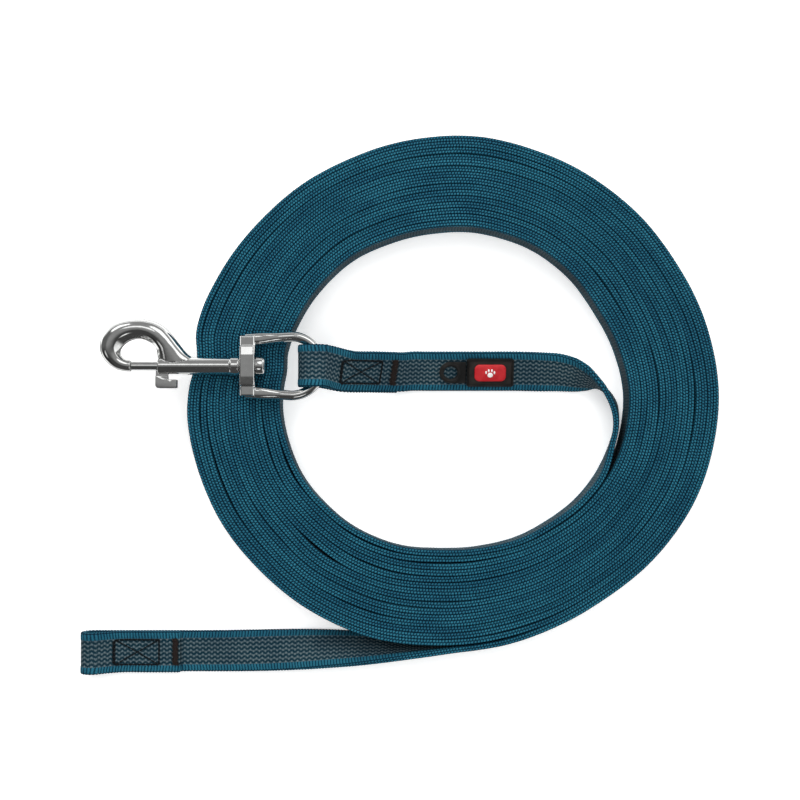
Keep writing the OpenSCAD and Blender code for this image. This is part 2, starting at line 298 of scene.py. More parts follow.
def stack_frame(x):
    """Middle, width direction and upward direction of the doubled strap at the hook."""
    along = np.array([math.cos(LOOP_SLOPE), 0, -math.sin(LOOP_SLOPE)])
    turned = float(ease(x, *LOOP_TURN))
    roll = math.radians(STRAP_ROLL) * turned
    lift = np.array([math.sin(LOOP_SLOPE), 0, math.cos(LOOP_SLOPE)])
    across = math.cos(roll) * np.array([0, 1, 0]) + math.sin(roll) * lift
    up = np.cross(along, across)
    middle = LOOP_AT + x * along + np.array([0, (STRAP_Y - LOOP_AT[1]) * turned, 0])
    return middle, across, up


def fold_profile(reach, nip, radius, drop):
    """Side view [x, z] of a folded end: in on one layer, round the fold, out on the other."""
    half = LAYER / 2
    straight = [reach, 0.8 * reach + 0.2 * nip, 0.5 * reach + 0.5 * nip, nip + 0.004]
    touch = math.acos(radius / math.hypot(nip, drop))
    fall = math.atan2(-drop, nip)
    low_end = -(touch + fall)
    sweep = 2 * math.pi - (touch - fall) - (touch + fall)
    count = 14
    angles = [low_end - sweep * n / count for n in range(count + 1)]
    low = [[x, drop - half] for x in straight]
    fold = [[radius * math.cos(a), radius * math.sin(a)] for a in angles]
    high = [[x, drop + half] for x in straight]
    return low + fold + high[::-1]


def upper_face(reach, nip, radius, drop):
    """Middle of a folded end's upper layer, as x and z."""
    rows = [[x, 0, z, 0, -1, 0] for x, z in fold_profile(reach, nip, radius, drop)]
    at = fine_route(np.array(rows), 0.0004)[0]
    upper = at[int(np.argmin(at[:, 0])):]
    return upper[:, 0], upper[:, 2]


def hook_end_rows():
    """Rows of the fold round the eye; its lower layer slips a little to one side."""
    rows = []
    profile = fold_profile(LOOP_STACK, LOOP_NIP, LOOP_R, 0)
    for n, (x, z) in enumerate(profile):
        middle, across, up = stack_frame(x)
        slip = LOOP_SLIP * float(ease(x, 0.002, 0.012)) if n < len(profile) / 2 else 0
        rows.append([*(middle + z * up + slip * across), *across])
    return np.array(rows)


def outer_end_rows():
    """Rows of the fold at the strap's outer end, just clear of the floor."""
    profile = fold_profile(END_STACK, END_NIP, END_R, END_DROP)
    return np.array([
        [END_AT[0] + x, END_AT[1], END_AT[2] + z + END_LIFT, 0, -1, 0] for x, z in profile
    ])


def fine_route(rows, step):
    """A smooth curve through the rows, as points, width and thickness directions and
    distances at an even step, with each row's own distance."""
    at = rows[:, :3]
    h = np.maximum(np.linalg.norm(np.diff(at, axis=0), axis=1), 1e-6)
    slope = np.diff(rows, axis=0) / h[:, None]
    tangent = np.empty_like(rows)
    tangent[1:-1] = (slope[:-1] * h[1:, None] + slope[1:] * h[:-1, None]) / (h[:-1] + h[1:])[:, None]
    tangent[0], tangent[-1] = slope[0], slope[-1]
    knots = np.concatenate([[0], np.cumsum(h)])
    t = np.arange(0, knots[-1], step / 2)
    i = np.clip(np.searchsorted(knots, t, "right") - 1, 0, len(h) - 1)
    f = ((t - knots[i]) / h[i])[:, None]
    dense = (
        (2 * f**3 - 3 * f**2 + 1) * rows[i] + (f**3 - 2 * f**2 + f) * h[i, None] * tangent[i]
        + (3 * f**2 - 2 * f**3) * rows[i + 1] + (f**3 - f**2) * h[i, None] * tangent[i + 1]
    )
    run = np.concatenate([[0], np.cumsum(np.linalg.norm(np.diff(dense[:, :3], axis=0), axis=1))])
    s = np.arange(0, run[-1], step)
    even = np.stack([np.interp(s, run, dense[:, c]) for c in range(6)], 1)
    ahead = np.gradient(even[:, :3], axis=0)
    ahead /= np.linalg.norm(ahead, axis=1, keepdims=True)
    across = even[:, 3:] - (even[:, 3:] * ahead).sum(1, keepdims=True) * ahead
    across /= np.linalg.norm(across, axis=1, keepdims=True)
    up = np.cross(ahead, across)
    return even[:, :3], across, up, s, np.interp(knots, t, run)


# ---- the strap's section ------------------------------------------------------------

# The wavy rubber threads: distance between them, length of one wave and its sway
WAVE_ROW = 0.0021
WAVE_LONG = 0.0029
WAVE_SWAY = 0.00052


def edge_points(side):
    """A woven edge, as [u, v, rib row, push in u, push in v], from one face to the other."""
    w, t = WEB_W / 2 * side, WEB_T / 2 * side
    push = 0.00015 * side
    return [
        [w - 0.00034 * side, -t, -side, 0, -0.00004 * side],
        [w - 0.00008 * side, -0.80 * t, -side, push, 0],
        [w, -0.5 * t, -side, push, 0],
        [w - 0.0001 * side, -0.2 * t, -side, 0.5 * push, 0],
        [w - 0.00026 * side, 0, 0, 0, 0],
        [w - 0.0001 * side, 0.2 * t, side, 0.5 * push, 0],
        [w, 0.5 * t, side, push, 0],
        [w - 0.00008 * side, 0.80 * t, side, push, 0],
        [w - 0.00034 * side, t, side, 0, 0.00004 * side],
    ]


def face_points(side, detail):
    """A face between the edges: ribbed selvedges and a lower middle."""
    t = WEB_T / 2 * side
    if not detail:
        return [[0.0064 * side, t, 0, 0, 0], [-0.0064 * side, t, 0, 0, 0]]
    rib = 0.00007 * side
    middle = np.linspace(0.0060, -0.0060, 21)
    rows = [[0.0081 * side, t + rib, 1, 0, rib], [0.0065 * side, t + rib / 2, 1, 0, rib]]
    rows += [[u * side, t - 0.00016 * side, 2, 0, 0.00011 * side] for u in middle]
    rows += [[-0.0065 * side, t + rib / 2, 1, 0, rib], [-0.0081 * side, t + rib, 1, 0, rib]]
    return rows


def section(detail):
    """The strap's outline; rows of kind 2 carry the wavy rubber threads."""
    return np.array(
        edge_points(1) + face_points(1, detail) + edge_points(-1) + face_points(-1, detail)
    )


def strap_piece(name, route, low, high, every, coil):
    """The stretch of strap between two distances along its route; in the coil, simpler and
    as thick as the room its layer has."""
    at, across, up, s, _ = route
    first, last = np.searchsorted(s, low), min(np.searchsorted(s, high), len(s) - 1)
    pick = np.arange(first - first % every, last + 1, every)
    outline = section(not coil)
    u, v, row, push_u, push_v = outline.T
    plump = np.ones(len(pick))
    if coil:
        theta = np.arctan2(at[pick, 1] - COIL_AT[1], at[pick, 0] - COIL_AT[0])
        inside = ease(s[pick] - coil[0], 0, 0.03) * ease(coil[1] - s[pick], 0, 0.03)
        plump += inside * spacing(theta)[1] / WEB_T
    phase = np.cos(2 * math.pi * s[pick] / RIB)[:, None]
    tri = 2 * np.abs((s[pick] / WAVE_LONG) % 1 - 0.5)[:, None] * 2 - 1
    wave = np.cos(2 * math.pi * (u[None, :] + WAVE_SWAY * tri) / WAVE_ROW)
    ripple = np.where(row == 2, wave, phase * row)
    uu = u + push_u * ripple
    vv = (v + push_v * ripple) * plump[:, None]
    points = (
        at[pick][:, None, :] + uu[:, :, None] * across[pick][:, None, :]
        + vv[:, :, None] * up[pick][:, None, :]
    )
    points[:, :, 2] = np.maximum(points[:, :, 2], 0.00002)
    flat, faces = loft(points)
    obj = mesh_object(name, flat, faces)
    lay = np.empty((len(pick), len(outline), 3), np.float32)
    lay[:, :, 0] = s[pick][:, None] / MM
    lay[:, :, 1] = u / MM
    lay[:, :, 2] = v / MM
    obj.data.attributes.new("lay", "FLOAT_VECTOR", "POINT").data.foreach_set("vector", lay.ravel())
    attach(obj, "strap")
    return obj, float(s[pick[-1]] - s[pick[0]])


# ---- node helpers ------------------------------------------------------------

class Nodes:
    """Short calls that add shader nodes to one material or world."""

    def __init__(self, owner):
        owner.use_nodes = True
        self.owner = owner
        self.tree = owner.node_tree
        self.shader = self.tree.nodes.get("Principled BSDF")

    def put(self, socket, value):
        if isinstance(value, bpy.types.NodeSocket):
            self.tree.links.new(value, socket)
        else:
            socket.default_value = value

    def math(self, kind, *values, clamp=False):
        node = self.tree.nodes.new("ShaderNodeMath")
        node.operation = kind
        node.use_clamp = clamp
        for socket, value in zip(node.inputs, values):
            self.put(socket, value)
        return node.outputs[0]

    def band(self, value, low, high):
        """0 below low, 1 above high, and smooth between."""
        node = self.tree.nodes.new("ShaderNodeMapRange")
        node.interpolation_type = "SMOOTHSTEP"
        self.put(node.inputs[0], value)
        node.inputs[1].default_value = low
        node.inputs[2].default_value = high
        return node.outputs[0]

    def mix(self, share, one, two):
        node = self.tree.nodes.new("ShaderNodeMix")
        node.data_type = "RGBA"
        self.put(node.inputs[0], share)
        for socket, value in ((node.inputs[6], one), (node.inputs[7], two)):
            self.put(socket, (*value, 1) if isinstance(value, tuple) else value)
        return node.outputs[2]

    def noise(self, scale, detail=2.0, vector=None):
        node = self.tree.nodes.new("ShaderNodeTexNoise")
        node.inputs["Scale"].default_value = scale
        node.inputs["Detail"].default_value = detail
        if vector is None:
            vector = self.tree.nodes.new("ShaderNodeTexCoord").outputs["Object"]
        self.tree.links.new(vector, node.inputs["Vector"])
        return node.outputs[0]

    def bump(self, height, strength, distance):
        node = self.tree.nodes.new("ShaderNodeBump")
        node.inputs["Strength"].default_value = strength
        node.inputs["Distance"].default_value = distance
        self.put(node.inputs["Height"], height)
        self.tree.links.new(node.outputs[0], self.shader.inputs["Normal"])

    def set(self, **values):
        for key, value in values.items():
            name = key.replace("_", " ")
            self.put(self.shader.inputs[name], (*value, 1) if isinstance(value, tuple) else value)
        return self.owner


# ---- materials ------------------------------------------------------------

def webbing_material():
    """Petrol woven edges and selvedges, and wavy grey rubber threads between them."""
    n = Nodes(bpy.data.materials.new("webbing"))
    attribute = n.tree.nodes.new("ShaderNodeAttribute")
    attribute.attribute_name = "lay"
    split = n.tree.nodes.new("ShaderNodeSeparateXYZ")
    n.tree.links.new(attribute.outputs["Vector"], split.inputs[0])
    s, u, v = split.outputs
    wide = n.math("ABSOLUTE", u)
    deep = n.math("ABSOLUTE", v)
    fibre = n.noise(2.4, 3, attribute.outputs["Vector"])
    uneven = n.noise(0.45, 2, attribute.outputs["Vector"])
    blotch = n.noise(0.045, 2, attribute.outputs["Vector"])
    blotch_long = n.noise(0.016, 2, attribute.outputs["Vector"])
    grain = n.math("MULTIPLY", n.math("SUBTRACT", fibre, 0.5), 1.3)
    jitter = n.math("MULTIPLY", n.math("SUBTRACT", uneven, 0.5), 3.2)
    turn = n.math("ADD", n.math("MULTIPLY", s, 2 * math.pi * MM / RIB), jitter)
    side = n.math("SIGN", n.math("MULTIPLY", u, v))
    loops = n.math("ADD", turn, n.math("MULTIPLY", side, -math.pi / 2))
    loops = n.math("ADD", n.math("ADD", loops, math.pi / 2), n.math("MULTIPLY", v, 1.1))
    loops = n.band(n.math("COSINE", loops), -1.1, 0.5)
    rows = n.band(n.math("SINE", n.math("MULTIPLY", deep, math.pi * MM / LAYER * 2)), 0.08, 0.92)
    ribs = n.math("COSINE", n.math("ADD", turn, n.math("MULTIPLY", wide, 0.6)))
    at_edge = n.band(wide, 9.1, 9.35)
    teal_height = n.math("ADD", n.math("MULTIPLY", at_edge, n.math("MULTIPLY", rows, loops)),
                         n.math("MULTIPLY", n.math("SUBTRACT", 1.0, at_edge), n.band(ribs, -1.4, 0.8)))
    # Painted shade: in patches along the woven edge, the strip next to each face is darkened almost to
    # black, where the gap between neighbouring layers of the coil lies in shadow.
    painted_gap_shade = n.math("MULTIPLY", n.band(deep, 0.82, 1.25), n.band(blotch_long, 0.25, 0.60))
    painted_gap_shade = n.math("SUBTRACT", 1.0, n.math("MULTIPLY", n.math("MULTIPLY", painted_gap_shade, at_edge), 0.95))
    teal_share = n.math("MULTIPLY", n.math("ADD", teal_height, grain, clamp=True), painted_gap_shade)
    flat_share = n.math("SUBTRACT", 1.0, n.math("MULTIPLY", n.math("SUBTRACT", 1.0, at_edge), 0.2))
    teal_share = n.math("MULTIPLY", teal_share, flat_share)
    # Painted shade: the teal runs from near black where the weave lies low to bright where it stands
    # up, so the crevices between loops and ribs carry painted shade over the weave's own pattern.
    teal = n.mix(teal_share, (0.0010, 0.013, 0.027), (0.0215, 0.140, 0.210))

    saw = n.math("FRACT", n.math("DIVIDE", s, WAVE_LONG / MM))
    saw = n.math("ABSOLUTE", n.math("SUBTRACT", saw, 0.5))
    tri = n.math("SUBTRACT", n.math("MULTIPLY", saw, 4.0), 1.0)
    swayed = n.math("ADD", u, n.math("MULTIPLY", tri, WAVE_SWAY / MM))
    swayed = n.math("ADD", swayed, n.math("MULTIPLY", jitter, 0.12))
    wave = n.math("COSINE", n.math("MULTIPLY", swayed, 2 * math.pi * MM / WAVE_ROW))
    dashes = n.band(n.math("COSINE", n.math("MULTIPLY", s, 4 * math.pi * MM / WAVE_LONG)), -1.2, 0.5)
    dashes = n.math("ADD", n.math("MULTIPLY", dashes, 0.72), 0.28)
    thread = n.math("MULTIPLY", n.band(wave, -0.35, 0.75), dashes)
    thread_share = n.math("ADD", thread, grain, clamp=True)
    middle = n.mix(thread_share, (0.0025, 0.021, 0.034), (0.096, 0.135, 0.152))
    inner_side = n.math("MULTIPLY", n.band(v, -0.2, -0.9), n.band(s, 250.0, 300.0))
    inner_side = n.math("MULTIPLY", inner_side, n.band(s, 9750.0, 9700.0))
    brown = n.mix(n.band(ribs, -0.9, 0.8), (0.020, 0.018, 0.018), (0.062, 0.056, 0.054))
    middle = n.mix(n.math("MULTIPLY", inner_side, 0.85), middle, brown)

    at_middle = n.band(wide, 6.55, 6.15)
    colour = n.mix(at_middle, teal, middle)
    shade = n.mix(n.band(blotch, 0.3, 0.7), (0.76, 0.80, 0.84), (1.22, 1.18, 1.14))
    tint = n.tree.nodes.new("ShaderNodeMix")
    tint.data_type = "RGBA"
    tint.blend_type = "MULTIPLY"
    tint.inputs[0].default_value = 1
    n.tree.links.new(colour, tint.inputs[6])
    n.tree.links.new(shade, tint.inputs[7])
    height = n.math("ADD", n.math("MULTIPLY", n.math("SUBTRACT", 1.0, at_middle), teal_height),
                    n.math("MULTIPLY", at_middle, thread))
    height = n.math("ADD", height, n.math("MULTIPLY", fibre, 0.6))
    n.bump(height, 0.6, 0.0002)
    rough = n.math("SUBTRACT", 0.85, n.math("MULTIPLY", n.math("MULTIPLY", at_middle, thread), 0.25))
    return n.set(Base_Color=tint.outputs[2], Roughness=rough, Specular_IOR_Level=0.12)


def thread_material(name, colour, worn):
    n = Nodes(bpy.data.materials.new(name))
    fuzz = n.noise(5200, 3)
    n.bump(fuzz, 0.5, 0.00008)
    return n.set(Base_Color=n.mix(n.band(fuzz, 0.35, 0.7), colour, worn), Roughness=0.75,
                 Specular_IOR_Level=0.15)


def rubber_material(name, colour, pale, rough):
    n = Nodes(bpy.data.materials.new(name))
    grain = n.noise(3600, 3)
    wear = n.noise(180, 2)
    n.bump(grain, 0.22, 0.00006)
    return n.set(Base_Color=n.mix(n.band(wear, 0.35, 0.72), colour, pale),
                 Roughness=n.math("ADD", rough, n.math("MULTIPLY", wear, 0.12)),
                 Specular_IOR_Level=0.3)


def metal_material(name, colour, worn, rough, grain_scale):
    """Plated metal with faint casting ripples and small changes in polish."""
    n = Nodes(bpy.data.materials.new(name))
    ripple = n.noise(grain_scale, 2)
    polish = n.noise(320, 3)
    n.bump(ripple, 0.05, 0.0004)
    return n.set(Base_Color=n.mix(n.band(polish, 0.3, 0.75), colour, worn), Metallic=1.0,
                 Roughness=n.math("ADD", rough, n.math("MULTIPLY", polish, 0.1)))


def dress(obj, material):
    obj.data.materials.clear()
    obj.data.materials.append(material)
    return obj


# ---- stitching ------------------------------------------------------------

def tube(line, radii, sides=8):
    """Rings round a short line of points."""
    line = np.asarray(line, float)
    ahead = np.gradient(line, axis=0)
    ahead /= np.linalg.norm(ahead, axis=1, keepdims=True)
    rings = []
    for p, a, r in zip(line, ahead, radii):
        side = np.cross(a, [0.31, 0.17, 0.93])
        side /= np.linalg.norm(side)
        top = np.cross(side, a)
        turn = np.arange(sides) * 2 * math.pi / sides
        rings.append(p + r * (np.cos(turn)[:, None] * side + np.sin(turn)[:, None] * top))
    return loft(rings)


def gather(name, shapes):
    """One mesh from several lists of points and faces."""
    points, faces = [], []
    for pts, fcs in shapes:
        base = len(points)
        points.extend(pts.tolist())
        faces.extend([[base + k for k in f] for f in fcs])
    return outward(mesh_object(name, points, faces))


def stitches(place, lines, long, thick):
    """Single stitches along lines [[x, y], [x, y]] on a strap, each dipping in at its ends."""
    shapes = []
    for (x0, y0), (x1, y1) in lines:
        total = math.hypot(x1 - x0, y1 - y0)
        count = max(1, round(total / long))
        for i in range(count):
            line = []
            for f in np.linspace(0.04, 0.96, 9):
                g = (i + f) / count
                rise = thick * (0.7 * math.sin(math.pi * (f - 0.04) / 0.92) ** 0.6 - 0.3)
                line.append(place(x0 + g * (x1 - x0), y0 + g * (y1 - y0), rise))
            shapes.append(tube(line, thick / 2 * np.array([0.55, 0.85, 1, 1, 1, 1, 1, 0.85, 0.55])))
    return shapes


def box_lines(start, length, height):
    """A box and the cross in it, as lines [(x, y), (x, y)]."""
    a, b, h = start, start + length, height / 2
    return [
        [(a, -h), (a, h)], [(a, h), (b, h)], [(b, h), (b, -h)], [(b, -h), (a, -h)],
        [(a, -h), (b, h)], [(a, h), (b, -h)],
    ]


def tack_shapes(place, start, length, height, thick):
    """A bar tack: thread laid to and fro, close together."""
    count = round(height / (0.62 * thick))
    line = []
    for i in range(count + 1):
        y = -height / 2 + height * i / count
        near, far = (start, start + length) if i % 2 else (start + length, start)
        for f in (0.0, 0.25, 0.5, 0.75):
            sway = 0.00018 * math.sin(7 * i + 3 * f)
            rise = 0.00028 * math.sin(math.pi * f) + 0.0002
            line.append(place(near + f * (far - near) + sway, y + height / count * f, rise))
    return [tube(line, [thick / 2] * len(line))]


HOOK_FACE = upper_face(LOOP_STACK, LOOP_NIP, LOOP_R, 0)
OUTER_FACE = upper_face(END_STACK, END_NIP, END_R, END_DROP)
STITCH = 0.0021
THREAD = 0.00078
THREAD_CROSS = 0.0006
TACK_H = 0.0122


def on_hook_stack(x, y, rise):
    middle, across, up = stack_frame(x)
    return middle + y * across + (float(np.interp(x, *HOOK_FACE)) + LAYER / 2 + rise) * up


def on_outer_stack(x, y, rise):
    return END_AT + np.array([x, y, float(np.interp(x, *OUTER_FACE)) + LAYER / 2 + rise])


def make_stitching(black, brown):
    """A box with a cross, its first side sewn twice, and a bar tack on each folded end."""
    boxes = (
        ("hook_box_stitching", "hook_box_stitch", on_hook_stack, (0.0120, 0.0202, 0.0114)),
        ("end_box_stitching", "end_box_stitch", on_outer_stack, (0.0104, 0.0209, 0.0118)),
    )
    for name, node, place, size in boxes:
        lines = box_lines(*size)
        beside = size[0] - 0.0007
        shapes = stitches(place, lines[:4], STITCH, THREAD)
        shapes += stitches(place, lines[4:], STITCH, THREAD_CROSS)
        shapes += stitches(place, [[(beside, -0.0054), (beside, 0.0054)]], STITCH, THREAD)
        finish_piece(gather(name, shapes), "thread", black, node)
    tacks = (
        ("hook_tack", "hook_bar_tack", on_hook_stack, 0.0372, 0.0034),
        ("end_tack", "end_bar_tack", on_outer_stack, 0.0376, 0.0030),
    )
    for name, node, place, start, length in tacks:
        tack = gather(name, tack_shapes(place, start, length, TACK_H, THREAD_CROSS))
        finish_piece(tack, "thread", brown, node)


def finish_piece(obj, slot, material, *nodes, body="strap"):
    dress(obj, material)
    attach(obj, body)
    if nodes:
        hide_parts(*nodes)
    return obj


# ---- label and eyelet ------------------------------------------------------------

def on_strap_matrix(x):
    """The rolled strap's upper face, with its own x along the strap and z out of it."""
    roll = Matrix.Rotation(math.radians(STRAP_ROLL), 4, "X")
    return Matrix.Translation((x, STRAP_Y, 0.005)) @ roll @ Matrix.Translation((0, 0, 0.0014))


def rounded_box(l, h, r, steps=8):
    """Outline of a rectangle with round corners."""
    points = []
    for n, (sx, sy) in enumerate(((1, 1), (-1, 1), (-1, -1), (1, -1))):
        for i in range(steps + 1):
            a = math.pi / 2 * (n + i / steps)
            points.append([sx * (l / 2 - r) + r * math.cos(a), sy * (h / 2 - r) + r * math.sin(a)])
    return np.array(points)


def stepped(l, h, r, profile):
    """Rings of a rounded rectangle, each drawn in by d at height z."""
    rings = []
    for d, z in profile:
        ring = rounded_box(l - 2 * d, h - 2 * d, max(r - d, 0.00008))
        rings.append(np.column_stack([ring, np.full(len(ring), z)]))
    return rings


def plate(name, rings, matrix, closed=False):
    obj = outward(mesh_object(name, *loft(rings, closed=closed)))
    obj.data.transform(matrix)
    return sharp_over(obj, 50)


LABEL_X = 0.045
LABEL_L = 0.0226
LABEL_H = 0.014
LABEL_CORNER = 0.0012
EYELET_X = 0.026


def in_mm(profile):
    return [(d * MM, z * MM) for d, z in profile]


def make_label(rubber, field, badge, mark):
    """A rubber frame round a dark field, and a domed badge with a paw on it."""
    here = on_strap_matrix(LABEL_X)
    rim = in_mm([
        (0, 0), (0, 1.15), (0.08, 1.38), (0.25, 1.54), (0.45, 1.6), (0.7, 1.58),
        (0.95, 1.46), (1.08, 1.28), (1.12, 0.95), (1.12, 0),
    ])
    finish_piece(plate("rim_of_label", stepped(LABEL_L, LABEL_H, LABEL_CORNER, rim), here, closed=True),
                 "rubber", rubber, "label_rim")
    flat = in_mm([(1.05, 0), (1.05, 0.97), (1.12, 1.0), (2.0, 1.0)])
    finish_piece(plate("field_of_label", stepped(LABEL_L, LABEL_H, LABEL_CORNER, flat), here),
                 "label_field", field, "label_field")
    dome = in_mm([(0, 0.9), (0, 1.35), (0.1, 1.5), (0.3, 1.58), (0.7, 1.62), (1.6, 1.64), (3.2, 1.65)])
    finish_piece(plate("badge_of_label", stepped(0.015, 0.0084, 0.0024, dome), here),
                 "badge", badge, "label_badge")
    paw = gather("paw_on_badge", paw_shapes())
    paw.data.transform(here)
    finish_piece(paw, "mark", mark, "label_mark")


def paw_shapes():
    """A pad and four toes round it, each a low oval button."""
    pad_y, toe_reach = -0.9, 2.35
    ovals = [(0, pad_y, 1.25, 1.05)]
    for k in range(4):
        a = math.radians(-57 + 38 * k)
        ovals.append((-toe_reach * math.sin(a), toe_reach * math.cos(a) + pad_y, 0.58, 0.72))
    turn = np.arange(28) * 2 * math.pi / 28
    shapes = []
    for x, y, r, wide in ovals:
        rings = []
        for share, z in ((1, 1.5), (1, 1.76), (0.9, 1.86), (0.65, 1.92), (0.3, 1.94)):
            oval_x = x + share * r * wide * np.cos(turn)
            oval_y = y + share * r / wide * np.sin(turn)
            rings.append(np.column_stack([oval_x, oval_y, np.full(len(turn), z)]) * MM)
        shapes.append(loft(rings))
    return shapes


def make_eyelet(rubber):
    """Flat tab, square at one end and round at the other, with a raised ring round its hole."""
    r_out, r_in, far = 0.0053, 0.0033, 0.0074
    corner = math.atan2(r_out, far)
    turn = np.concatenate([
        np.linspace(-math.pi / 2, -corner, 14, endpoint=False),
        np.linspace(-corner, corner, 24, endpoint=False),
        np.linspace(corner, math.pi / 2, 14, endpoint=False),
        np.linspace(math.pi / 2, 1.5 * math.pi, 56, endpoint=False),
    ])
    to_end = far / np.maximum(np.cos(turn), 1e-6)
    to_side = r_out / np.maximum(np.abs(np.sin(turn)), 1e-6)
    reach = np.where(np.cos(turn) > 1e-6, np.minimum(to_end, to_side), r_out)
    circle = np.stack([np.cos(turn), np.sin(turn)], 1)

    def ring(share, z, base=None):
        radius = r_in + share * (reach - r_in) if base is None else np.full(len(turn), base)
        return np.column_stack([circle * radius[:, None], np.full(len(turn), z)])

    rings = [
        ring(1, 0), ring(1, 0.0008), ring(0.95, 0.00098), ring(0.9, 0.001),
        ring(0, 0.00102, 0.0050), ring(0, 0.0014, 0.00482), ring(0, 0.0016, 0.0045),
        ring(0, 0.0016, 0.0039), ring(0, 0.0014, 0.0035), ring(0, 0.0011, 0.0033), ring(0, 0, 0.0033),
    ]
    tab = plate("eyelet_with_tab", rings, on_strap_matrix(EYELET_X), closed=True)
    finish_piece(tab, "rubber", rubber, "eyelet_tab")


# ---- snap hook ------------------------------------------------------------

# The hook's own origin is the middle of the barrel's open end; x runs along the barrel
HOOK_AT = Vector((-0.1107, 0.0185, 0.0245))
BARREL_R = 0.00405
BARREL_L = 0.0334
COLLAR_R = 0.00455
COLLAR_L = 0.0045
BOLT_R = 0.00205
BORE_R = 0.00211
GATE = 0.0129
EYE_X = (0.0381, 0.0452)
EYE_BEND_X = 0.0622
EYE_BEND_R = 0.0137
EYE_BAR_R = 0.0022


def to_hook(obj):
    obj.data.transform(Matrix.Translation(HOOK_AT))
    return obj


def lathe(name, profile, sides=96):
    """A turned shape about x, from [x, radius] pairs; closed at both ends."""
    turn = np.arange(sides) * 2 * math.pi / sides
    rings = [
        np.column_stack([np.full(sides, x), r * np.cos(turn), r * np.sin(turn)]) for x, r in profile
    ]
    return outward(mesh_object(name, *loft(rings)))


# The bow, from its tip round to the barrel: inner point, outer point, half height, all in mm,
# and the share of its width that is bevel
BOW = [
    [-12.9, 2.6, -12.9, -2.6, 2.5, 0.15], [-14.7, 2.8, -15.6, -2.6, 2.7, 0.15],
    [-16.7, 3.8, -19.8, -1.6, 3.1, 0.15], [-18.0, 5.3, -23.5, 0.9, 3.6, 0.16],
    [-18.0, 7.1, -26.4, 4.4, 4.0, 0.23], [-17.3, 8.6, -27.7, 8.9, 4.3, 0.30],
    [-16.2, 9.9, -26.7, 13.7, 4.4, 0.30], [-14.6, 11.2, -23.5, 17.9, 4.5, 0.27],
    [-12.5, 12.2, -19.0, 20.7, 4.5, 0.25], [-10.3, 12.7, -13.2, 22.0, 4.5, 0.27],
    [-8.2, 12.7, -7.2, 22.1, 4.5, 0.27], [-6.1, 12.1, -1.6, 20.9, 4.5, 0.24],
    [-4.1, 11.1, 3.0, 18.3, 4.5, 0.20], [-2.2, 9.8, 6.8, 14.1, 4.4, 0.16],
    [-0.8, 7.9, 10.2, 9.5, 4.3, 0.13], [-0.3, 4.6, 13.2, 5.7, 4.15, 0.10],
    [0.1, 0.6, 16.8, 3.2, 4.0, 0.08],
]


def bow_section(w, h, share):
    """Upper half of the bow's section, from its inner side: a flat bevel, then a dome."""
    def dome(x):
        return (1 - abs(x) ** 2.1) ** 0.5

    foot, start = 0.3, 1 - 2 * share
    rows = [[0, 0]]
    for f in (0, 0.5, 0.94):
        rows.append([f * share * w, h * (foot + f * (dome(start) - foot))])
    for turn in np.linspace(-math.asin(start), math.pi / 2, 22):
        rows.append([w / 2 * (1 + math.sin(turn)), h * dome(math.sin(turn))])
    return np.array(rows)


def bow_object():
    """The hook's bow: a tapering bar round the opening, with a bevel along its inner side."""
    rows = np.array(BOW) * [MM, MM, MM, MM, MM, 1]
    middle = (rows[:, :2] + rows[:, 2:4]) / 2
    run = np.concatenate([[0], np.cumsum(np.linalg.norm(np.diff(middle, axis=0), axis=1))])
    t = np.linspace(0, run[-1], 150)
    dense = np.stack([np.interp(t, run, rows[:, c]) for c in range(6)], 1)
    for _ in range(14):
        dense[1:-1] = 0.25 * dense[:-2] + 0.5 * dense[1:-1] + 0.25 * dense[2:]
    rings = []
    for x0, y0, x1, y1, h, share in dense:
        w = math.hypot(x1 - x0, y1 - y0)
        upper = bow_section(w, h, share)
        lower = upper[-2:0:-1] * [1, -1]
        a, z = np.concatenate([upper, lower]).T
        rings.append(np.column_stack([x0 + a * (x1 - x0) / w, y0 + a * (y1 - y0) / w, z]))
    return outward(mesh_object("bow", *loft(rings)))


def box_object(name, low, high):
    mesh = bmesh.new()
    bmesh.ops.create_cube(mesh, size=1)
    data = bpy.data.meshes.new(name)
    mesh.to_mesh(data)
    mesh.free()
    size = Vector(high) - Vector(low)
    data.transform(Matrix.Translation((Vector(low) + Vector(high)) / 2) @ Matrix.Diagonal((*size, 1)))
    obj = bpy.data.objects.new(name, data)
    scene.collection.objects.link(obj)
    return obj


def cast(name, parts, cuts, voxel, rounds, factor=0.5):
    """Solids melted into one casting with soft corners, then cut."""
    obj = joined(name, parts)
    melt = obj.modifiers.new("melt", "REMESH")
    melt.mode = "VOXEL"
    melt.voxel_size = voxel
    apply_modifiers(obj)
    soften = obj.modifiers.new("soften", "SMOOTH")
    soften.iterations = rounds
    soften.factor = factor
    apply_modifiers(obj)
    for cut in cuts:
        bite = obj.modifiers.new("bite", "BOOLEAN")
        bite.operation = "DIFFERENCE"
        bite.solver = "EXACT"
        bite.object = cut
        apply_modifiers(obj)
        bpy.data.objects.remove(cut)
    return sharp_over(obj, 48)


def make_hook(chrome):
    collar_end = BARREL_L + COLLAR_L
    barrel = lathe("barrel", [
        (0.0, 0.0022), (0.0, BARREL_R - 0.0002), (0.0002, BARREL_R), (BARREL_L + 0.0002, BARREL_R),
        (BARREL_L + 0.0002, 0.0022),
    ])
    collar = lathe("collar", [
        (BARREL_L, 0.0022), (BARREL_L, COLLAR_R - 0.0005), (BARREL_L + 0.0005, COLLAR_R),
        (collar_end - 0.0005, COLLAR_R), (collar_end, COLLAR_R - 0.0005), (collar_end, 0.0022),
    ])
    bore = lathe("bore", [(-0.001, BORE_R), (collar_end + 0.001, BORE_R)])
    slot = box_object("slot", (-0.001, -0.008, -0.00155), (0.0137, 0, 0.00155))
    body = cast("hook_casting", [bow_object(), barrel, collar], [bore, slot], 0.0002, 4)
    finish_piece(to_hook(body), "hook_metal", chrome, "hook_body", body="hook")


